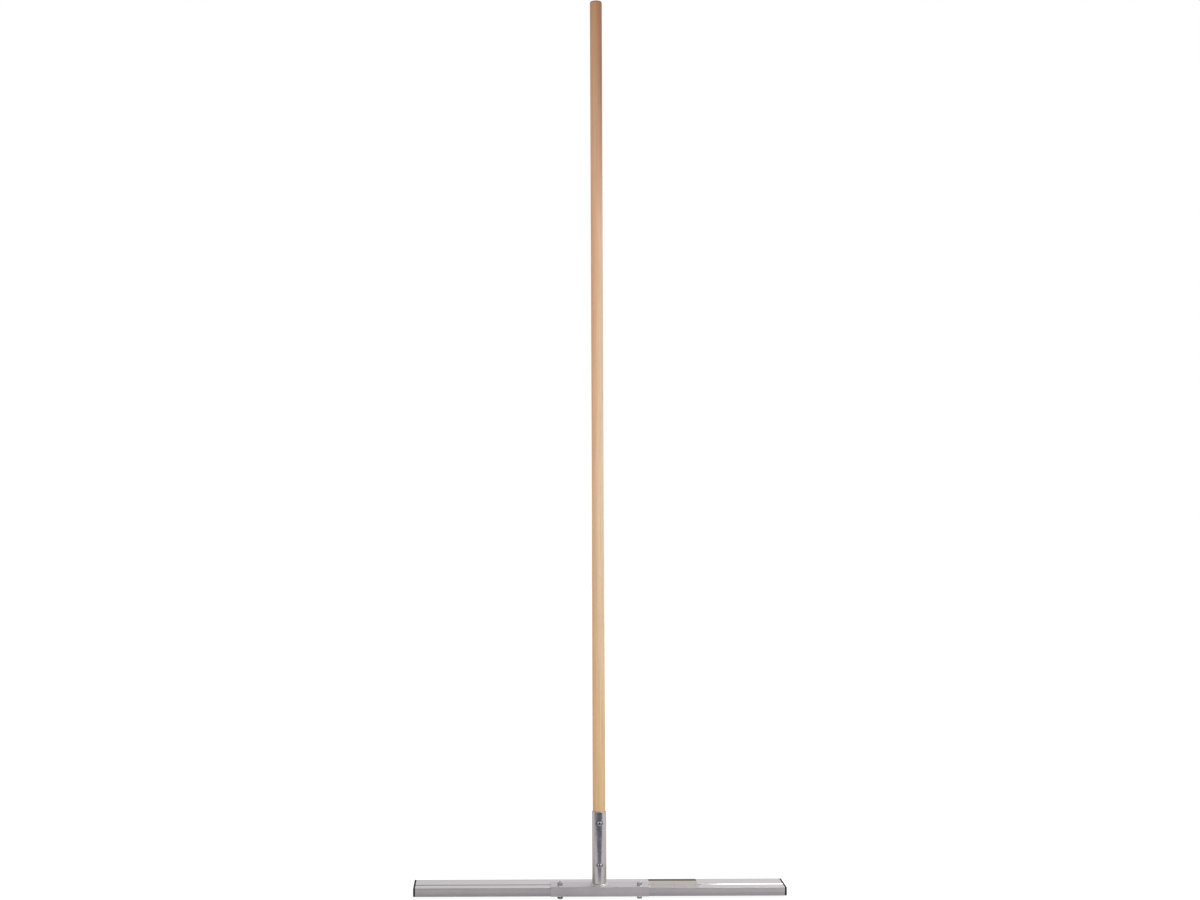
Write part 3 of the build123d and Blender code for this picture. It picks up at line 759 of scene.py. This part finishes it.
class SCRAPER_OT_sticker(bpy.types.Operator):
    """Lay the plain foil sticker on the bar, beside the bracket"""
    bl_idname = "scraper.sticker"
    bl_label = "Sticker"

    def execute(self, context):
        look, bar = context.scene.scraper_sticker, context.scene.scraper_bar
        half = look.long / 2
        centre = Vector((BRACKET_HIGH.x + look.gap + half, (BAR_LOW.y + BAR_HIGH.y) / 2, BAR_HIGH.z))
        groove = BAR_LOW.y + bar.groove_setback - centre.y
        reach = look.wide / 2 - look.corner
        # Rows of points run along the bar, close together round the corners and over the groove
        rounded = [reach + look.corner * math.sin(math.radians(angle)) for angle in range(0, 91, 15)]
        steps = 8
        sunk = [groove + bar.groove_width * (step / steps - 0.5) for step in range(steps + 1)]
        mesh = bmesh.new()
        rows = []
        for y in sorted([-y for y in rounded] + sunk + rounded):
            cut = look.corner - math.sqrt(look.corner ** 2 - max(0.0, abs(y) - reach) ** 2)
            off = min(1.0, abs(y - groove) / (bar.groove_width / 2))
            low = centre.z - look.sag * (1 - off ** 2) ** 2
            ends = [centre.x - half + cut, centre.x + half - cut]
            heights = [low, low + look.thickness]
            rows.append([mesh.verts.new((x, centre.y + y, z)) for z in heights for x in ends])
        for (a, b, c, d), (e, f, g, h) in zip(rows, rows[1:]):
            for face in ((c, d, h, g), (b, a, e, f), (a, c, g, e), (d, b, f, h)):
                mesh.faces.new(face)
        for a, b, c, d in (rows[0], rows[-1][1::-1] + rows[-1][:1:-1]):
            mesh.faces.new((a, b, d, c))
        sticker = new_piece("bar_sticker", mesh, printed_foil(look, centre))
        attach(sticker, "root")
        return {"FINISHED"}


class SCRAPER_OT_stage(bpy.types.Operator):
    """Set the floor, the lamps and the camera"""
    bl_idname = "scraper.stage"
    bl_label = "Studio"

    def execute(self, context):
        scene = context.scene
        look = scene.scraper_stage
        scene.view_settings.view_transform = "Standard"
        scene.world = studio_room()
        mesh = bmesh.new()
        bmesh.ops.create_circle(mesh, cap_ends=True, segments=96, radius=9.0)
        floor = new_piece("studio_floor", mesh, studio_paper(look.paper))

        # The near side of the room is dark, and the floor on the left is half dark. A glowing sheet that
        # only
        #         # reflections see paints them in: painted reflections, the dark band in the tube and the
        #         grey strip
        #         # beside it. Each outline is given in metres to the right of the tube and in front of it
        near, side, back, aisle, curtain_top = 0.17, 2.6, 6.0, 0.56, 2.4
        dark_floor = [(0.07, near), (0.2, 0.36), (side, 1.55), (side, back),
                      (-side, back), (-side, 0.95), (-0.2, 0.36), (-0.07, near)]
        dim_floor = [(-aisle, 0.1), (-aisle, 0.44), (-side, 0.94), (-side, 0.1)]
        curtain = [(-side, 0.0), (side, 0.0), (side, curtain_top), (-side, curtain_top)]
        mesh = bmesh.new()
        for outline in (dark_floor, dim_floor):
            mesh.faces.new([mesh.verts.new((x, SOCKET_AXIS_Y - y, 1 * MM)) for x, y in outline])
        mesh.faces.new([mesh.verts.new((x, SOCKET_AXIS_Y - back, z)) for x, z in curtain])
        dark = new_piece("dark_side", mesh, dark_room(look, near, aisle))
        for ray in ("camera", "diffuse", "transmission", "volume_scatter", "shadow"):
            setattr(dark, "visible_" + ray, False)

        # Name, place, size, watts and target of each soft box
        lamps = (("key_box", (2.3, -2.6, 1.9), (3.6, 3.6), 24.0, (0.0, 0.0, 0.9)),
                 ("side_box", (2.5, -0.7, 0.5), (1.4, 0.9), 4.0, (0.0, 0.0, 0.1)),
                 ("fill_box", (-2.6, -2.2, 1.5), (3.0, 2.8), 16.0, (0.0, 0.0, 0.9)),
                 ("roof_box", (1.52, 0.9, 4.2), (1.6, 2.2), 66.0, (1.52, 0.9, 0.0)))
        for name, spot, size, power, target in lamps:
            lamp = bpy.data.lights.new(name, "AREA")
            lamp.shape = "RECTANGLE"
            lamp.size, lamp.size_y = size
            lamp.energy = power
            box = bpy.data.objects.new(name, lamp)
            box.location = spot
            aim = Vector(target) - box.location
            box.rotation_euler = aim.to_track_quat("-Z", "Y").to_euler()
            scene.collection.objects.link(box)

        lens = bpy.data.cameras.new("camera")
        lens.lens = look.lens
        lens.shift_x = look.shift
        camera = bpy.data.objects.new("camera", lens)
        camera.location = (-look.offset, SOCKET_AXIS_Y - look.distance, look.height)
        camera.rotation_euler = (math.pi / 2, look.roll, 0.0)
        scene.collection.objects.link(camera)
        scene.camera = camera
        return {"FINISHED"}


class SCRAPER_PT_sidebar(bpy.types.Panel):
    """Steps that finish the screed scraper"""
    bl_idname = "SCRAPER_PT_sidebar"
    bl_label = "Screed Scraper"
    bl_space_type = "VIEW_3D"
    bl_region_type = "UI"
    bl_category = "Scraper"

    def draw(self, context):
        for step in STEPS:
            self.layout.operator(step.bl_idname)


LOOKS = {
    "scraper_pole": PoleFinish,
    "scraper_bar": BarFinish,
    "scraper_caps": CapFinish,
    "scraper_socket": SocketFinish,
    "scraper_fasteners": FastenerFinish,
    "scraper_sticker": StickerFinish,
    "scraper_stage": StageLook,
}
STEPS = (SCRAPER_OT_pole, SCRAPER_OT_bar, SCRAPER_OT_caps, SCRAPER_OT_socket, SCRAPER_OT_weld,
         SCRAPER_OT_fasteners, SCRAPER_OT_sticker, SCRAPER_OT_stage)


def register():
    for kind in (*LOOKS.values(), *STEPS, SCRAPER_PT_sidebar):
        bpy.utils.register_class(kind)
    for name, kind in LOOKS.items():
        setattr(bpy.types.Scene, name, PointerProperty(type=kind))


def unregister():
    for name in LOOKS:
        delattr(bpy.types.Scene, name)
    for kind in reversed((*LOOKS.values(), *STEPS, SCRAPER_PT_sidebar)):
        bpy.utils.unregister_class(kind)


def main():
    register()
    bpy.ops.scraper.pole()
    bpy.ops.scraper.bar()
    bpy.ops.scraper.caps()
    bpy.ops.scraper.socket()
    bpy.ops.scraper.weld()
    bpy.ops.scraper.fasteners()
    bpy.ops.scraper.sticker()
    bpy.ops.scraper.stage()


if __name__ == "__main__":
    main()
